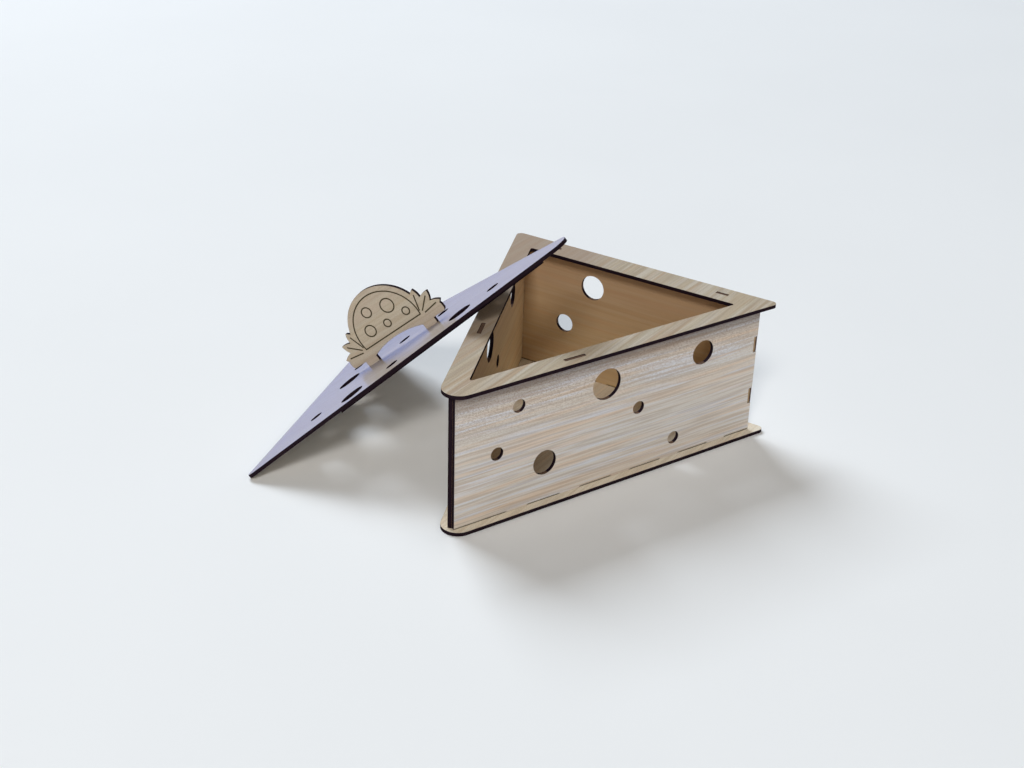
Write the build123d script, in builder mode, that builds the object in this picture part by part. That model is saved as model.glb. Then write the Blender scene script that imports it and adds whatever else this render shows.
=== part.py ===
"""Wedge-shaped gift box of laser-cut plywood, open, with its loose lid leaned on its far side.

Millimetres. +Z is up and the underside of the base is z = 0. The origin is under the middle of
the wedge: +X runs from the point of the wedge to its back, the near side faces -Y and the far
side +Y. The lid is drawn flat in its own frame and placed by one leaning plane.
"""

import os
from math import asin, atan2, cos, hypot, radians, sin, tan

from build123d import *

os.makedirs("parts", exist_ok=True)

# ---- sheet and wedge plan ----
sheet = 2.8  # thickness of the plywood
side_length = 300.0  # long side of the wedge, to its sharp corners
apex_angle = 45.0  # degrees between the two long sides
apex_radius = 12.0  # rounding of the point of base, frame and lid
back_radius = 4.0  # rounding of the two back corners

# ---- walls ----
wall_height = 102.0  # between the base and the top frame
side_wall_inset = 6.3  # edge of the base to the outer face of a side wall
back_wall_inset = 8.6  # edge of the base to the outer face of the back wall
apex_gap = 0.2  # daylight left between the side walls' front ends and their meeting point
slot_clearance = 0.1  # play on each side of a tab in its slot
tab_recess = 0.3  # how far a tab's end stays below the face that it comes through

# ---- top frame ----
side_rim_width = 16.0
back_rim_width = 21.6
opening_radius = 1.5  # corners of the opening

# ---- tabs ----
side_tab_length = 17.4
side_tab_first = 73.5  # first tab's middle, along the wall from the point
side_tab_pitch = 45.3
side_tab_count = 5
frame_tab_index = 1  # the tab place that the top frame uses too
back_tab_length = 9.7
back_tab_pitch = 48.4
back_tab_count = 4
finger_height = 12.5  # back wall's fingers through the ends of the side walls
finger_offset = 21.5  # each finger's middle above and below the wall's middle

# ---- round holes, as in a cheese ----
large_hole = 24.0
medium_hole = 19.0
small_hole = 10.0
# along the wall from the point, height above the floor, diameter
side_wall_holes = [
    (147, 80, large_hole),
    (234, 82, medium_hole),
    (96, 33, medium_hole),
    (177, 53, small_hole),
    (212, 18, small_hole),
    (73, 84, small_hole),
    (56, 52, small_hole),
]
back_upper_hole = 20.0
back_lower_hole = 15.0
# across the wall from its middle, height above the floor, diameter
back_wall_holes = [(37, 83, back_upper_hole), (61, 46, back_lower_hole)]
# along the lid from its sharp point, across it, diameter
lid_holes = [
    (230, 6.5, medium_hole),
    (197, 62, medium_hole),
    (110, 20, medium_hole),
    (235.5, 60, small_hole),
    (164, 47.5, small_hole),
    (84, 6, small_hole),
    (146, -23, small_hole),
    (182, -15, small_hole),
    (238, -28, small_hole),
]

# ---- strips under the lid ----
strip_clearance = 0.4  # strip to the edge of the frame's opening when the lid is on
strip_depth = 3.5
side_strip_gap = 50.0  # end of a side strip to the ring's back corner
back_strip_gap = 30.0  # end of the back strip to the ring's back corner

# ---- ornament standing on the lid ----
ornament_middle = 175.5  # along the lid from its sharp point
board_length = 95.0
board_height = 12.0
board_lift = 4.5  # its ends above the lid
board_end_radius = 2.5
foot_offset = 30.0  # each foot's middle from the ornament's middle
foot_width = 11.0
foot_tab_width = 7.0  # the tongue under each foot, through the lid
arch_rise = 4.0  # top of the low arch between the feet, above the board's ends
wheel_radius = 33.0
wheel_centre_height = 17.0
rind_width = 4.5
rind_drop = 10.0  # degrees that the engraved rind runs on below the wheel's centre
leaf_count = 3
leaf_length = 21.0
leaf_width = 9.0
leaf_root_offset = 28.0  # roots of a leaf fan from the ornament's middle
leaf_root_height = 10.5
leaf_first_angle = 8.0  # degrees above the board
leaf_step_angle = 32.0
rib_margin = 0.2  # share of a leaf left plain at each end of its rib
# from the wheel's centre: across, up, radius
engraved_rings = [
    (-10, 14, 5.5),
    (8, 18, 4.0),
    (15, 5, 4.5),
    (-1, 3, 3.0),
    (-20, 3, 3.0),
]
engrave_width = 0.9
engrave_depth = 0.25

# ---- how the lid leans ----
lean_turn = 6.25  # degrees between the lid's foot and the box's far side
lean_along = 179.0  # touching place on the far top edge, from the point of the wedge
lean_reach = 131.5  # foot line to the touching place, on the floor
lean_gap = 0.1  # air under the lid at the edge it leans on and at its foot

# ---- worked out from the sizes above ----
half = radians(apex_angle / 2)
wedge_depth = side_length * cos(half)
origin_x = wedge_depth * 2 / 3  # middle of the wedge, from its sharp point
box_height = wall_height + 2 * sheet
tab_height = sheet - tab_recess
side_tab_places = [side_tab_first + side_tab_pitch * i for i in range(side_tab_count)]
back_tab_places = [back_tab_pitch * (i - (back_tab_count - 1) / 2) for i in range(back_tab_count)]
frame_back_tab_places = [back_tab_places[0], back_tab_places[-1]]


def wedge_corners(side_inset=0.0, back_inset=0.0):
    """Point, near back corner and far back corner of the wedge drawn in from its edges."""
    point_x = side_inset / sin(half)
    back_x = wedge_depth - back_inset
    reach = (back_x - point_x) * tan(half)
    return (point_x, 0), (back_x, -reach), (back_x, reach)


def along_side(corner):
    """How far a corner of the plan lies along its long side, from the sharp point."""
    return corner[0] * cos(half) + abs(corner[1]) * sin(half)


def draw_wedge_plate():
    """The outline that the base, the top frame and the lid share."""
    Polygon(*wedge_corners(), align=None)
    fillet(vertices().sort_by(Axis.X)[0], apex_radius)
    fillet(vertices().sort_by(Axis.X)[-2:], back_radius)


def draw_side_slots(places):
    """Slots for the tabs of both side walls, in the plan of a plate."""
    middle = side_wall_inset + sheet / 2
    for side in (-1, 1):
        for along in places:
            x = along * cos(half) + middle * sin(half)
            y = side * (along * sin(half) - middle * cos(half))
            with Locations(Location((x, y, 0), (0, 0, side * apex_angle / 2))):
                Rectangle(
                    side_tab_length + 2 * slot_clearance,
                    sheet + 2 * slot_clearance,
                    mode=Mode.SUBTRACT,
                )


def draw_back_slots(places):
    """Slots for the tabs of the back wall, in the plan of a plate."""
    with Locations(*[(wedge_depth - back_wall_inset - sheet / 2, y) for y in places]):
        Rectangle(
            sheet + 2 * slot_clearance, back_tab_length + 2 * slot_clearance, mode=Mode.SUBTRACT
        )


def draw_tabs(places, length, bottom):
    """Tabs of a wall, standing on the height given."""
    with Locations(*[(place, bottom) for place in places]):
        Rectangle(length, tab_height, align=(Align.CENTER, Align.MIN))


def cut_holes(holes):
    """Round holes of a sheet, each given as its place and its diameter."""
    for x, y, diameter in holes:
        with Locations((x, y)):
            Circle(diameter / 2, mode=Mode.SUBTRACT)


def box_plan(height):
    """The wedge's plan at a height of the box, with its sharp point as the plane's origin."""
    return Plane(origin=(-origin_x, 0, height))


# ---- base and top frame ----
with BuildPart() as base_plate:
    with BuildSketch(box_plan(0)):
        draw_wedge_plate()
        draw_side_slots(side_tab_places)
        draw_back_slots(back_tab_places)
    extrude(amount=sheet)

with BuildPart() as top_frame:
    with BuildSketch(box_plan(box_height - sheet)):
        draw_wedge_plate()
        with BuildSketch(mode=Mode.SUBTRACT):
            Polygon(*wedge_corners(side_rim_width, back_rim_width), align=None)
            fillet(vertices(), opening_radius)
        draw_side_slots([side_tab_places[frame_tab_index]])
        draw_back_slots(frame_back_tab_places)
    extrude(amount=sheet)

# ---- side walls: one shape, cut twice ----
inner_corners = wedge_corners(side_wall_inset + sheet, back_wall_inset + sheet)
side_wall_start = along_side(inner_corners[0]) + apex_gap
side_wall_end = along_side(wedge_corners(side_wall_inset + sheet, back_wall_inset)[1])
notch_start = along_side(inner_corners[1]) - slot_clearance
finger_heights = [box_height / 2 - finger_offset, box_height / 2 + finger_offset]


def side_wall_plane(side):
    """Upright plane on a side wall's outer face, x from the point; side is -1 near, +1 far."""
    inward = (sin(half), -side * cos(half))
    return Plane(
        origin=(side_wall_inset * inward[0] - origin_x, side_wall_inset * inward[1], 0),
        x_dir=(cos(half), side * sin(half), 0),
        z_dir=(side * inward[0], side * inward[1], 0),
    )


def draw_side_wall():
    """A side wall seen square on, with its tabs, its holes and the notches at its back end."""
    with Locations((side_wall_start, sheet)):
        Rectangle(side_wall_end - side_wall_start, wall_height, align=(Align.MIN, Align.MIN))
    draw_tabs(side_tab_places, side_tab_length, tab_recess)
    draw_tabs([side_tab_places[frame_tab_index]], side_tab_length, box_height - sheet)
    with Locations(*[(notch_start, height) for height in finger_heights]):
        Rectangle(
            side_wall_end - notch_start,
            finger_height + 2 * slot_clearance,
            align=(Align.MIN, Align.CENTER),
            mode=Mode.SUBTRACT,
        )
    cut_holes(side_wall_holes)


with BuildPart() as side_wall_near:
    with BuildSketch(side_wall_plane(-1)):
        draw_side_wall()
    extrude(amount=-sheet)

with BuildPart() as side_wall_far:
    with BuildSketch(side_wall_plane(1)):
        draw_side_wall()
    extrude(amount=sheet)

# ---- back wall, with fingers through the side walls ----
back_wall_half = inner_corners[2][1] - slot_clearance
finger_reach = wedge_corners(side_wall_inset, back_wall_inset + sheet)[2][1]
back_wall_plane = Plane(
    origin=(wedge_depth - back_wall_inset - origin_x, 0, 0), x_dir=(0, 1, 0), z_dir=(1, 0, 0)
)

with BuildPart() as back_wall:
    with BuildSketch(back_wall_plane):
        with Locations((0, sheet)):
            Rectangle(2 * back_wall_half, wall_height, align=(Align.CENTER, Align.MIN))
        with Locations(*[(0, height) for height in finger_heights]):
            Rectangle(2 * finger_reach, finger_height)
        draw_tabs(back_tab_places, back_tab_length, tab_recess)
        draw_tabs(frame_back_tab_places, back_tab_length, box_height - sheet)
        cut_holes(back_wall_holes)
    extrude(amount=-sheet)

# ---- the lid's own frame: x from its sharp point, y across, z out of its top face ----
strip_side_inset = side_rim_width + strip_clearance
strip_back_inset = back_rim_width + strip_clearance
lean_tilt = atan2(box_height - lean_gap, lean_reach) + asin(
    (strip_depth + lean_gap) / hypot(box_height - lean_gap, lean_reach)
)
uphill = half - radians(lean_turn) - radians(90)  # heading of the lid's slope, in the plan
slope = Vector(cos(uphill) * cos(lean_tilt), sin(uphill) * cos(lean_tilt), sin(lean_tilt))
across = Vector(sin(uphill), -cos(uphill), 0)
# the strip's place that touches the box, in the lid's own frame
touch_x = wedge_depth - lean_reach * cos(lean_tilt) - (box_height - lean_gap) * sin(lean_tilt)
touch_y = strip_side_inset / cos(half) - touch_x * tan(half)
touch_place = Vector(lean_along * cos(half) - origin_x, lean_along * sin(half), 0)
foot_middle = touch_place - Vector(cos(uphill), sin(uphill), 0) * lean_reach - across * touch_y
lid_underside = Plane(
    origin=foot_middle + Vector(0, 0, lean_gap) + slope * wedge_depth,
    x_dir=slope * -1,
    z_dir=across.cross(slope),
)
lid_top = lid_underside.offset(sheet)

# ---- ornament: a half cheese between two fans of leaves, drawn upright on the lid ----
ornament_plane = Plane(
    origin=lid_top.from_local_coords((ornament_middle, 0, 0)),
    x_dir=lid_underside.x_dir,
    z_dir=lid_underside.y_dir * -1,
)
arch_start = (-foot_offset + foot_width / 2, board_lift)
arch_end = (foot_offset - foot_width / 2, board_lift)


def leaf_ends(side, index):
    """Root and tip of a leaf, on one side of the ornament."""
    angle = radians(leaf_first_angle + leaf_step_angle * index)
    root = Vector(side * leaf_root_offset, leaf_root_height)
    return root, root + Vector(side * cos(angle), sin(angle)) * leaf_length


leaves = [leaf_ends(side, index) for side in (-1, 1) for index in range(leaf_count)]

with BuildPart() as lid_ornament:
    with BuildSketch(ornament_plane):
        with Locations((0, board_lift)):
            Rectangle(board_length, board_height - board_lift, align=(Align.CENTER, Align.MIN))
        fillet(vertices(), board_end_radius)
        with BuildSketch():
            with Locations((0, wheel_centre_height)):
                Circle(wheel_radius)
            with Locations((0, board_lift)):
                Rectangle(
                    2 * wheel_radius,
                    wheel_radius,
                    align=(Align.CENTER, Align.MAX),
                    mode=Mode.SUBTRACT,
                )
        for foot_place in (-foot_offset, foot_offset):
            with Locations((foot_place, 0)):
                Rectangle(foot_width, board_height, align=(Align.CENTER, Align.MIN))
                Rectangle(foot_tab_width, tab_height, align=(Align.CENTER, Align.MAX))
        with BuildSketch(mode=Mode.SUBTRACT):
            with BuildLine():
                Line(arch_start, arch_end)
                ThreePointArc(arch_start, (0, board_lift + arch_rise), arch_end)
            make_face()
        for root, tip in leaves:
            bulge = (tip - root).cross(Vector(0, 0, 1)).normalized() * (leaf_width / 2)
            with BuildSketch():
                with BuildLine():
                    ThreePointArc(root, (root + tip) / 2 + bulge, tip)
                    ThreePointArc(tip, (root + tip) / 2 - bulge, root)
                make_face()
    extrude(amount=sheet / 2, both=True)

    # lines engraved in the face: the cheese's rind and holes, and the leaves' ribs
    with BuildSketch(ornament_plane.offset(-sheet / 2)):
        with BuildLine():
            rind = CenterArc(
                (0, wheel_centre_height), wheel_radius - rind_width, -rind_drop, 180 + 2 * rind_drop
            )
            Line(rind @ 0, rind @ 1)
            for x, y, radius in engraved_rings:
                CenterArc((x, wheel_centre_height + y), radius, 0, 360)
            for root, tip in leaves:
                Line(root + (tip - root) * rib_margin, tip - (tip - root) * rib_margin)
        trace(line_width=engrave_width)
    extrude(amount=engrave_depth, mode=Mode.SUBTRACT)

# ---- lid plate ----
with BuildPart() as lid_plate:
    with BuildSketch(lid_underside):
        draw_wedge_plate()
        cut_holes(lid_holes)
        with Locations((ornament_middle - foot_offset, 0), (ornament_middle + foot_offset, 0)):
            Rectangle(
                foot_tab_width + 2 * slot_clearance, sheet + 2 * slot_clearance, mode=Mode.SUBTRACT
            )
    extrude(amount=sheet)

# ---- strips glued under the lid, mitred at the point and cut short of the back corners ----
strip_outer = wedge_corners(strip_side_inset, strip_back_inset)
strip_inner = wedge_corners(strip_side_inset + sheet, strip_back_inset + sheet)
side_strip_end = strip_outer[2][0] - side_strip_gap * cos(half)
back_strip_half = strip_outer[2][1] - back_strip_gap


def draw_side_strip(side):
    """A strip along one side of the ring; side is -1 near, +1 far."""
    outer_y = (side_strip_end - strip_outer[0][0]) * tan(half)
    inner_y = (side_strip_end - strip_inner[0][0]) * tan(half)
    Polygon(
        strip_outer[0],
        strip_inner[0],
        (side_strip_end, side * inner_y),
        (side_strip_end, side * outer_y),
        align=None,
    )


with BuildPart() as lid_strip_near:
    with BuildSketch(lid_underside):
        draw_side_strip(-1)
    extrude(amount=-strip_depth)

with BuildPart() as lid_strip_far:
    with BuildSketch(lid_underside):
        draw_side_strip(1)
    extrude(amount=-strip_depth)

with BuildPart() as lid_strip_back:
    with BuildSketch(lid_underside):
        with Locations((strip_outer[1][0], 0)):
            Rectangle(sheet, 2 * back_strip_half, align=(Align.MAX, Align.CENTER))
    extrude(amount=-strip_depth)

# ---- one file for each piece ----
pieces = {
    "base_plate": base_plate,
    "top_frame": top_frame,
    "side_wall_near": side_wall_near,
    "side_wall_far": side_wall_far,
    "back_wall": back_wall,
    "lid_plate": lid_plate,
    "lid_strip_near": lid_strip_near,
    "lid_strip_far": lid_strip_far,
    "lid_strip_back": lid_strip_back,
    "lid_ornament": lid_ornament,
}
for name, piece in pieces.items():
    piece.part.label = name
    export_step(piece.part, f"parts/{name}.step")
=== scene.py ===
"""Looks of the wedge gift box: plywood with laser-burnt edges, on a pale studio floor."""

from math import cos, radians, sin

import bpy
from mathutils import Matrix, Vector


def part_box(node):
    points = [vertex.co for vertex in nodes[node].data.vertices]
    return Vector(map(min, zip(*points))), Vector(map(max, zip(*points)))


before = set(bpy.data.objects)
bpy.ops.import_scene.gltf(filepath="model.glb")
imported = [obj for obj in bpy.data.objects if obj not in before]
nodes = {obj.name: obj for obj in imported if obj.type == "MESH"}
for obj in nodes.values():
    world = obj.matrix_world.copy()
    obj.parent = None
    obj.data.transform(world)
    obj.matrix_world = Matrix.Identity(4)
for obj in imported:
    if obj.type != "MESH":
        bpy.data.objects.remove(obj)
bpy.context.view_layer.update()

MM = 0.001
UP = Vector((0, 0, 1))
POINT_TO_BACK = Vector((1, 0, 0))


# ---- where each sheet of plywood lies ----
def sheet_normal(node, toward):
    """Direction of a sheet's big faces, on the side that points toward the vector given."""
    normal = max(node.data.polygons, key=lambda face: face.area).normal.copy()
    return normal if normal.dot(toward) > 0 else -normal


def outward(name):
    """From the middle of the box to the middle of one of its pieces, level."""
    low, high = (Vector(corner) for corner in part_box(name))
    box_low, box_high = (Vector(corner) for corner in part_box("top_frame"))
    away = (low + high) / 2 - (box_low + box_high) / 2
    away.z = 0
    return away


lid_normal = sheet_normal(nodes["lid_plate"], UP)
lid_across = UP.cross(lid_normal).normalized()
lid_slope = lid_normal.cross(lid_across)
near_normal = sheet_normal(nodes["side_wall_near"], outward("side_wall_near"))
far_normal = sheet_normal(nodes["side_wall_far"], outward("side_wall_far"))
back_normal = sheet_normal(nodes["back_wall"], outward("back_wall"))
ornament_normal = sheet_normal(nodes["lid_ornament"], Vector((-1, -1, 0)))
ornament_level = max(
    vertex.co.dot(ornament_normal) for vertex in nodes["lid_ornament"].data.vertices
)
wall_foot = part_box("base_plate")[1][2]
wall_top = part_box("top_frame")[0][2]

# ---- marks that the laser and the glue leave, and painted shade along the walls' top and foot ----
# smoke, with painted shade of the ring's overhang, on the walls' outside just under the ring
SMOKE_AND_FLANGE_SHADE = (0.11, 0.07, 0.062, 1)
# a darker, redder tone for the walls' inside, stronger towards the top
INNER_TOP_DARKENING = (0.43, 0.27, 0.20, 1)
SOOT = (0.07, 0.05, 0.025, 1)
# burnt wood and painted shade of the gap under the wall, along each wall's foot
SEAM_CHAR_AND_GAP_SHADE = (0.05, 0.045, 0.015, 1)
ENGRAVED = (0.05, 0.04, 0.018, 1)
CHAR = (0.014, 0.008, 0.013, 1)
CHAR_PLY = (0.022, 0.012, 0.016, 1)
TAB_END = (0.12, 0.075, 0.055, 1)

# how far below the ring each mark and each painted shade on the walls starts, and is at its
# strongest
SPECKLE_REACH = (54.8 * MM, 10.8 * MM)
SMOKE_AND_SHADE_REACH = (19.8 * MM, 4.8 * MM)
FLANGE_SHADE_LINE_REACH = (5.8 * MM, 2.8 * MM)
INNER_TOP_DARKENING_REACH = (74.8 * MM, 4.8 * MM)

# how far above the base the seam, burnt wood with painted shade of the gap under the wall, starts,
# and is at its strongest
SEAM_REACH = (7.2 * MM, 5.2 * MM)
SEAM_WIDTH = 2.4 * MM
SOOT_WIDTH = 0.7 * MM
ENGRAVING_MIN_DEPTH = 0.1 * MM
GRAIN_RELIEF = 0.15 * MM

# |cosine| to the sheet's normal that parts its big faces from its cut edges
FACE_EDGE_LIMIT = 0.5
# cosine above which a cut edge faces straight up or sideways, as the tabs' and fingers' ends do
END_ON_LIMIT = 0.95
# moves the noise of one veneer away from that of another
INNER_SHIFT = 31
WARM_SHIFT = 13

# ---- veneers: the main tone, the tones of its bands and streaks, and how strong they are ----
WALL = {
    "face": (0.715, 0.65, 0.58, 1),
    "broad": (0.685, 0.665, 0.63, 1),
    "cool": (0.71, 0.755, 0.85, 1),
    "warm": (0.745, 0.60, 0.47, 1),
    "dark": (0.38, 0.29, 0.225, 1),
    "contrast": 0.7,
    "grain": 0.4,
}
FRAME = {
    "face": (0.46, 0.405, 0.304, 1),
    "broad": (0.442, 0.368, 0.267, 1),
    "cool": (0.54, 0.505, 0.44, 1),
    "warm": (0.405, 0.285, 0.184, 1),
    "dark": (0.20, 0.15, 0.11, 1),
    "contrast": 0.65,
    "grain": 0.3,
    "tint": (0.31, 0.235, 0.18, 1),
    "tint_across": (0.01, 0.05),
}
BASE = {
    "face": (0.75, 0.69, 0.57, 1),
    "broad": (0.71, 0.645, 0.53, 1),
    "cool": (0.75, 0.725, 0.64, 1),
    "warm": (0.74, 0.62, 0.47, 1),
    "dark": (0.38, 0.28, 0.18, 1),
    "contrast": 0.5,
    "grain": 0.25,
}
LID = {
    "face": (0.653, 0.547, 0.394, 1),
    "broad": (0.624, 0.509, 0.365, 1),
    "cool": (0.653, 0.576, 0.451, 1),
    "warm": (0.634, 0.49, 0.336, 1),
    "dark": (0.40, 0.31, 0.22, 1),
    "contrast": 0.4,
    "grain": 0.25,
}
ORNAMENT = {
    "face": (0.526, 0.47, 0.376, 1),
    "broad": (0.498, 0.423, 0.348, 1),
    "cool": (0.545, 0.508, 0.432, 1),
    "warm": (0.517, 0.423, 0.31, 1),
    "dark": (0.32, 0.25, 0.18, 1),
    "contrast": 0.5,
    "grain": 0.25,
}
INSIDE = {
    "face": (0.53, 0.38, 0.215, 1),
    "broad": (0.49, 0.34, 0.18, 1),
    "cool": (0.55, 0.43, 0.28, 1),
    "warm": (0.51, 0.32, 0.17, 1),
    "dark": (0.26, 0.16, 0.09, 1),
    "contrast": 0.4,
    "grain": 0.12,
}
PALE_INSIDE = {
    "face": (0.88, 0.74, 0.51, 1),
    "broad": (0.84, 0.68, 0.45, 1),
    "cool": (0.88, 0.77, 0.57, 1),
    "warm": (0.86, 0.66, 0.43, 1),
    "dark": (0.40, 0.28, 0.16, 1),
    "contrast": 0.5,
    "grain": 0.25,
}
LID_SHINE = {"colour": (0.21, 0.305, 0.70, 1), "roughness": 0.2, "ior": 1.6}


# ---- node helpers ----
class Shader:
    """Builds one material's nodes, each with its inputs given as values or as sockets."""

    def __init__(self, name):
        self.material = bpy.data.materials.new(name)
        self.material.use_nodes = True
        self.tree = self.material.node_tree
        self.tree.nodes.clear()

    def add(self, kind, inputs=None, output=0, **settings):
        node = self.tree.nodes.new("ShaderNode" + kind)
        for key, value in settings.items():
            setattr(node, key, value)
        for key, value in (inputs or {}).items():
            if isinstance(value, bpy.types.NodeSocket):
                self.tree.links.new(value, node.inputs[key])
            else:
                node.inputs[key].default_value = value
        return node.outputs[output]

    def math(self, operation, a, b=0.0):
        return self.add("Math", {0: a, 1: b}, operation=operation)

    def scaled(self, value, factor):
        return self.math("MULTIPLY", value, factor)

    def dot(self, a, b):
        return self.add("VectorMath", {0: a, 1: b}, output="Value", operation="DOT_PRODUCT")

    def component(self, vector, axis):
        return self.add("SeparateXYZ", {"Vector": vector}, output=axis)

    def mix(self, factor, a, b):
        """Mixes two colours."""
        inputs = {"Factor": factor, 6: a, 7: b}
        return self.add("Mix", inputs, output=2, data_type="RGBA")

    def ramp(self, value, low, high):
        """0 at low, 1 at high, smooth between them."""
        inputs = {"Value": value, "From Min": low, "From Max": high}
        return self.add("MapRange", inputs, interpolation_type="SMOOTHSTEP")

    def noise(self, place, stretch, offset=(0, 0, 0), detail=2.0, roughness=0.5):
        """Noise with the given number of lumps in a metre, along each axis of the place."""
        moved = self.add("Mapping", {"Vector": place, "Scale": stretch, "Location": offset})
        inputs = {"Vector": moved, "Scale": 1.0, "Detail": detail, "Roughness": roughness}
        return self.add("TexNoise", inputs)

    def rounded_normal(self, radius):
        """The normal as it would be with every edge rounded."""
        return self.add("Bevel", {"Radius": radius}, samples=8)

    def near_edge(self, radius):
        """0 away from the edges, and more the closer they are, up to the radius."""
        true_normal = self.add("NewGeometry", output="Normal")
        return self.math("SUBTRACT", 1.0, self.dot(self.rounded_normal(radius), true_normal))

    def finish(self, surface):
        end = self.tree.nodes.new("ShaderNodeOutputMaterial")
        self.tree.links.new(surface, end.inputs["Surface"])
        return self.material


# ---- plywood ----
def grain_rotation(grain, normal):
    """Euler angles that turn the grain to X and the sheet's normal to Z."""
    return Matrix((grain, normal.cross(grain), normal)).to_euler()


def wandering(s, place, offset):
    """The place, swung by a slow wave across the grain, so that the streaks wander a little."""
    wave = s.noise(place, (6, 14, 5), offset, detail=1.0)
    swing = s.scaled(s.math("SUBTRACT", wave, 0.5), 6 * MM)
    sideways = s.add("CombineXYZ", {"Y": swing})
    return s.add("VectorMath", {0: place, 1: sideways}, operation="ADD")


def veneer(s, place, tones, offset):
    """Colour of a face veneer, broad bands with streaks in three tones, and its fine grain.

    tint, if the tones have one, takes over across the grain between the two places given.
    """
    broad = s.noise(place, (4, 90, 20), offset)
    cool = s.noise(place, (9, 300, 60), offset)
    warm = s.noise(place, (8, 220, 60), [value + WARM_SHIFT for value in offset])
    fine = s.noise(place, (16, 620, 200), offset, roughness=0.6)
    colour = s.mix(s.ramp(broad, 0.35, 0.65), tones["face"], tones["broad"])
    colour = s.mix(s.scaled(s.ramp(cool, 0.46, 0.66), tones["contrast"]), colour, tones["cool"])
    colour = s.mix(s.scaled(s.ramp(warm, 0.48, 0.68), tones["contrast"]), colour, tones["warm"])
    colour = s.mix(s.scaled(s.ramp(fine, 0.42, 0.62), tones["grain"]), colour, tones["dark"])
    if "tint" in tones:
        shift = s.ramp(s.component(place, "Y"), *tones["tint_across"])
        colour = s.mix(s.scaled(shift, 0.75), colour, tones["tint"])
    return colour, fine


def smoked_and_shaded(s, height, outside, inside, flecks, dark):
    """A wall's two faces, with marks that thicken towards its top: flecks, smoke and painted shade
    under the ring outside, a darker, redder tone inside.
    """
    depth = s.math("SUBTRACT", wall_top, height)
    speckle = s.math("ADD", s.scaled(s.ramp(depth, *SPECKLE_REACH), 0.55), 0.08)
    outside = s.mix(s.math("MULTIPLY", flecks, speckle), outside, dark)
    # painted shade under the ring's overhang, mixed with smoke, on the outside
    broad_smoke_and_shade = s.scaled(s.ramp(depth, *SMOKE_AND_SHADE_REACH), 0.5)
    flange_shade_line = s.scaled(s.ramp(depth, *FLANGE_SHADE_LINE_REACH), 0.35)
    outside = s.mix(s.math("ADD", broad_smoke_and_shade, flange_shade_line), outside, SMOKE_AND_FLANGE_SHADE)
    # the inside grows darker and redder towards the top
    inner_top_darkening = s.scaled(s.ramp(depth, *INNER_TOP_DARKENING_REACH), 0.35)
    return outside, s.mix(inner_top_darkening, inside, INNER_TOP_DARKENING)


def seamed(s, height, wood):
    """A wall's wood with a dark seam at its foot, in the corner with the base: burnt wood, and
    painted shade of the gap under the wall.
    """
    leaning_down = s.scaled(s.component(s.rounded_normal(SEAM_WIDTH), "Z"), -1.0)
    rise = s.math("SUBTRACT", height, wall_foot)
    seam_char_and_shade = s.math("MULTIPLY", s.ramp(leaning_down, 0.12, 0.28), s.ramp(rise, *SEAM_REACH))
    return s.mix(s.scaled(seam_char_and_shade, 0.9), wood, SEAM_CHAR_AND_GAP_SHADE)


def engraved_wood(s, place, facing, level, wood):
    """Wood with burnt lines, wherever its face lies below the level given."""
    depth = s.math("SUBTRACT", level, s.component(place, "Z"))
    in_a_line = s.math("GREATER_THAN", depth, ENGRAVING_MIN_DEPTH)
    on_the_face = s.math("GREATER_THAN", facing, FACE_EDGE_LIMIT)
    return s.mix(s.math("MULTIPLY", in_a_line, on_the_face), wood, ENGRAVED)


def cut_edge(s, place, normal, near_edge, offset, with_ends):
    """The charred cut edge, with its plies showing a little.

    with_ends picks out the ends of the tabs and of the back wall's fingers, with a charred rim.
    """
    plies = s.noise(place, (60, 60, 1600), offset, detail=1.0)
    char = s.mix(s.ramp(plies, 0.45, 0.7), CHAR, CHAR_PLY)
    if with_ends:
        sideways = s.math("ABSOLUTE", s.component(normal, "Y"))
        end_on = s.math("MAXIMUM", s.component(normal, "Z"), sideways)
        tab_end = s.mix(s.ramp(near_edge, 0.0, 0.08), TAB_END, CHAR)
        char = s.mix(s.math("GREATER_THAN", end_on, END_ON_LIMIT), char, tab_end)
    return char


def glossed(s, bsdf, facing, gloss):
    """The surface with a sheen on the face that the normal points out of."""
    shine = s.add("BsdfGlossy", {"Color": gloss["colour"], "Roughness": gloss["roughness"]})
    weight = s.add("Fresnel", {"IOR": gloss["ior"]})
    on_the_face = s.math("GREATER_THAN", facing, FACE_EDGE_LIMIT)
    return s.add("MixShader", {0: s.math("MULTIPLY", weight, on_the_face), 1: bsdf, 2: shine})


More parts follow.
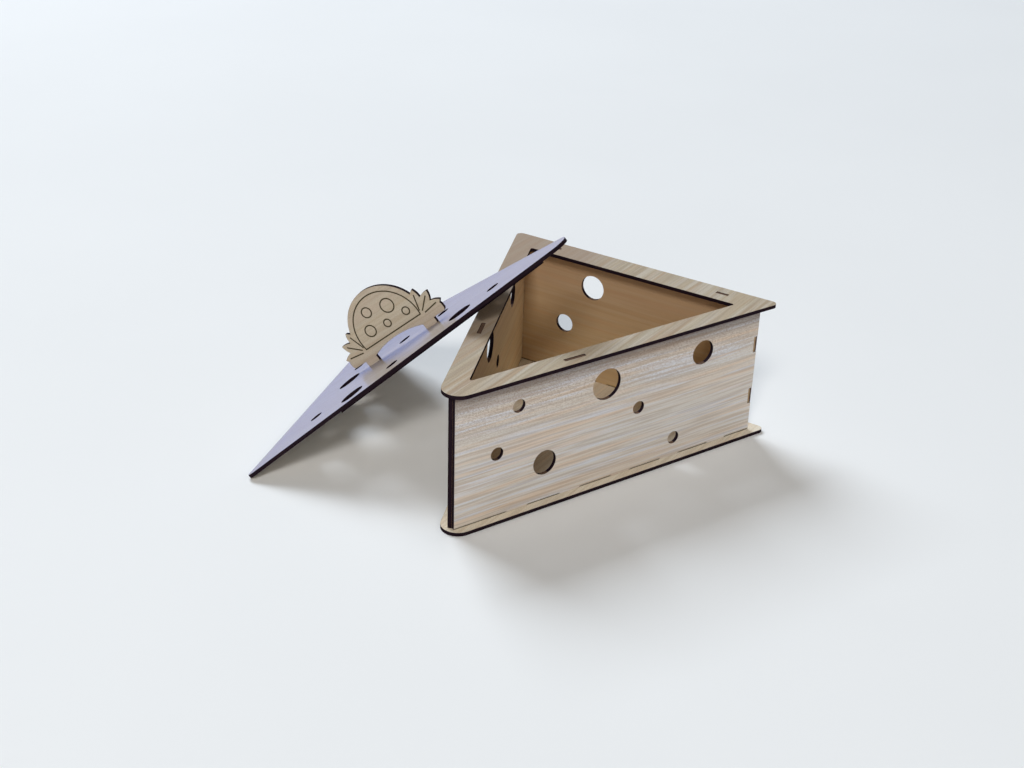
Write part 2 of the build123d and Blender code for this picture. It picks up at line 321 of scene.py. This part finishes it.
def plywood(name, grain, normal, outer, inner, offset=(0, 0, 0), soot=0.2, wall=False,
            engraved=None, gloss=None, roughness=0.6):
    """Plywood sheet: its face on the normal's side, its other face, and charred cut edges.

    wall adds flecks, smoke and painted shade along a wall's top and a seam at its foot, burnt and
    with painted shade of the gap under the wall, and engraved is the level of the face, along the
    normal, below which its lines are burnt in.
    """
    s = Shader(name)
    coords = s.tree.nodes.new("ShaderNodeTexCoord").outputs
    turned = {"Vector": coords["Object"], "Rotation": grain_rotation(grain, normal)}
    place = s.add("Mapping", turned)
    height = s.component(coords["Object"], "Z")
    facing = s.dot(coords["Normal"], normal)

    outer_place = wandering(s, place, offset)
    outside, fine = veneer(s, outer_place, outer, offset)
    lumps = s.noise(outer_place, (800, 1500, 400), offset, detail=1.0)
    flecks = s.ramp(lumps, 0.46, 0.64)
    inner_offset = [value + INNER_SHIFT for value in offset]
    inside, _ = veneer(s, wandering(s, place, inner_offset), inner, inner_offset)
    if wall:
        outside, inside = smoked_and_shaded(s, height, outside, inside, flecks, outer["dark"])
    else:
        outside = s.mix(s.scaled(flecks, 0.25), outside, outer["dark"])
    wood = s.mix(s.math("LESS_THAN", facing, -FACE_EDGE_LIMIT), outside, inside)

    near_edge = s.near_edge(SOOT_WIDTH)
    wood = s.mix(s.scaled(s.ramp(near_edge, 0.0, 0.16), soot), wood, SOOT)
    if wall:
        wood = seamed(s, height, wood)
    if engraved is not None:
        wood = engraved_wood(s, place, facing, engraved, wood)
    is_edge = s.math("LESS_THAN", s.math("ABSOLUTE", facing), FACE_EDGE_LIMIT)
    char = cut_edge(s, place, coords["Normal"], near_edge, offset, with_ends=wall)

    relief = s.math("ADD", s.scaled(fine, 0.6), s.scaled(flecks, -0.4))
    bump = s.add("Bump", {"Strength": 0.15, "Distance": GRAIN_RELIEF, "Height": relief})
    surface = {
        "Base Color": s.mix(is_edge, wood, char),
        "Roughness": roughness,
        "Normal": bump,
        "Specular IOR Level": s.math("SUBTRACT", 0.2, s.scaled(is_edge, 0.19)),
    }
    bsdf = s.add("BsdfPrincipled", surface)
    if gloss:
        bsdf = glossed(s, bsdf, facing, gloss)
    return s.finish(bsdf)


def wall_plywood(name, normal, inner, offset=(0, 0, 0)):
    """A wall's plywood, with its grain level along the wall."""
    return plywood(name, UP.cross(normal), normal, WALL, inner, offset, wall=True)


def strip_plywood(name, grain, offset):
    """The plywood of a strip under the lid."""
    return plywood(name, grain, lid_normal, FRAME, FRAME, offset)


looks = {
    "base_plate": plywood("base_ply", POINT_TO_BACK, UP, BASE, BASE, (3, 1, 2)),
    "top_frame": plywood("frame_ply", POINT_TO_BACK, UP, FRAME, INSIDE, soot=0.05),
    "side_wall_near": wall_plywood("near_wall_ply", near_normal, INSIDE),
    "side_wall_far": wall_plywood("far_wall_ply", far_normal, PALE_INSIDE, (5, 2, 1)),
    "back_wall": wall_plywood("back_wall_ply", back_normal, INSIDE, (9, 4, 1)),
    "lid_plate": plywood(
        "lid_ply", lid_slope, lid_normal, LID, FRAME, gloss=LID_SHINE, roughness=0.4
    ),
    "lid_ornament": plywood(
        "ornament_ply", lid_slope, ornament_normal, ORNAMENT, ORNAMENT, soot=0.6,
        engraved=ornament_level,
    ),
    "lid_strip_near": strip_plywood("strip_near_ply", lid_slope, (1, 7, 1)),
    "lid_strip_far": strip_plywood("strip_far_ply", lid_slope, (2, 7, 1)),
    "lid_strip_back": strip_plywood("strip_back_ply", lid_across, (3, 7, 1)),
}
for name, material in looks.items():
    mesh = nodes[name].data
    mesh.materials.clear()
    mesh.materials.append(material)

# ---- floor ----
FLOOR_SIZE = 9.0
FLOOR_TONES = ((0.84, 0.87, 0.893, 1), (0.855, 0.885, 0.908, 1))


def floor_paper():
    """Plain pale paper with a faint mottle and a fine tooth."""
    s = Shader("floor_paper")
    place = s.add("TexCoord", output="Object")
    mottle = s.noise(place, (2.5, 2.5, 2.5), detail=3.0)
    tooth = s.noise(place, (900, 900, 900))
    surface = {
        "Base Color": s.mix(s.ramp(mottle, 0.3, 0.7), *FLOOR_TONES),
        "Roughness": 0.85,
        "Normal": s.add("Bump", {"Strength": 0.05, "Distance": 0.1 * MM, "Height": tooth}),
        "Specular IOR Level": 0.2,
    }
    return s.finish(s.add("BsdfPrincipled", surface))


bpy.ops.mesh.primitive_plane_add(size=FLOOR_SIZE, location=(0, 0, 0))
floor = bpy.context.object
floor.name = "floor"
floor.data.materials.append(floor_paper())

# ---- world: a dim warm light on the object, and a pale backdrop past the floor's edge ----
DIM_LIGHT = (1.05, 1.0, 0.94, 1)
DIM_LIGHT_STRENGTH = 0.08
BACKDROP = (0.80, 0.84, 0.87, 1)

world = bpy.data.worlds.new("studio")
bpy.context.scene.world = world
world.use_nodes = True
sky = world.node_tree
dim_light = sky.nodes["Background"]
dim_light.inputs["Color"].default_value = DIM_LIGHT
dim_light.inputs["Strength"].default_value = DIM_LIGHT_STRENGTH
backdrop = sky.nodes.new("ShaderNodeBackground")
backdrop.inputs["Color"].default_value = BACKDROP
backdrop.inputs["Strength"].default_value = 1.0
ray = sky.nodes.new("ShaderNodeLightPath")
looked_at = ray.outputs["Is Camera Ray"]
for other in ("Is Glossy Ray", "Is Transmission Ray"):
    either = sky.nodes.new("ShaderNodeMath")
    either.operation = "MAXIMUM"
    sky.links.new(looked_at, either.inputs[0])
    sky.links.new(ray.outputs[other], either.inputs[1])
    looked_at = either.outputs[0]
choice = sky.nodes.new("ShaderNodeMixShader")
sky.links.new(looked_at, choice.inputs[0])
sky.links.new(dim_light.outputs[0], choice.inputs[1])
sky.links.new(backdrop.outputs[0], choice.inputs[2])
sky.links.new(choice.outputs[0], sky.nodes["World Output"].inputs["Surface"])

# ---- lamps: a big soft one behind and to the left, a small one in front, and a low soft fill ----
COOL_WHITE = (0.93, 0.985, 1.05)
WARM_WHITE = (1.06, 1.0, 0.93)


def area_light(name, bearing, elevation, distance, size, power, colour):
    """Square lamp aimed at the object; bearing is in degrees from +Y toward +X."""
    heading, tilt = radians(bearing), radians(elevation)
    away = Vector((sin(heading) * cos(tilt), cos(heading) * cos(tilt), sin(tilt)))
    lamp = bpy.data.lights.new(name, "AREA")
    lamp.size = size
    lamp.energy = power
    lamp.color = colour
    holder = bpy.data.objects.new(name, lamp)
    holder.location = away * distance
    holder.rotation_euler = away.to_track_quat("Z", "Y").to_euler()
    bpy.context.scene.collection.objects.link(holder)


area_light(
    "window", bearing=23, elevation=43, distance=9.0, size=4.4, power=682, colour=COOL_WHITE
)
area_light(
    "front", bearing=248, elevation=44, distance=6.5, size=1.3, power=166, colour=WARM_WHITE
)
area_light(
    "fill", bearing=231, elevation=20, distance=6.5, size=4.3, power=72, colour=WARM_WHITE
)

# ---- camera ----
LENS = 53.87
SENSOR_WIDTH = 36
CAMERA_PLACE = Vector((-874.9, -500.1, 575.5)) * MM
CAMERA_HEADING = -57.496  # degrees from +Y, counter-clockwise seen from above
CAMERA_DIP = 27.887  # degrees below level
CAMERA_ROLL = 1.692

camera_data = bpy.data.cameras.new("camera")
camera_data.lens = LENS
camera_data.sensor_width = SENSOR_WIDTH
camera_data.clip_end = 50
camera = bpy.data.objects.new("camera", camera_data)
camera.matrix_world = (
    Matrix.Translation(CAMERA_PLACE)
    @ Matrix.Rotation(radians(CAMERA_HEADING), 4, "Z")
    @ Matrix.Rotation(radians(90 - CAMERA_DIP), 4, "X")
    @ Matrix.Rotation(radians(CAMERA_ROLL), 4, "Z")
)
bpy.context.scene.collection.objects.link(camera)
bpy.context.scene.camera = camera
bpy.context.scene.view_settings.view_transform = "Standard"
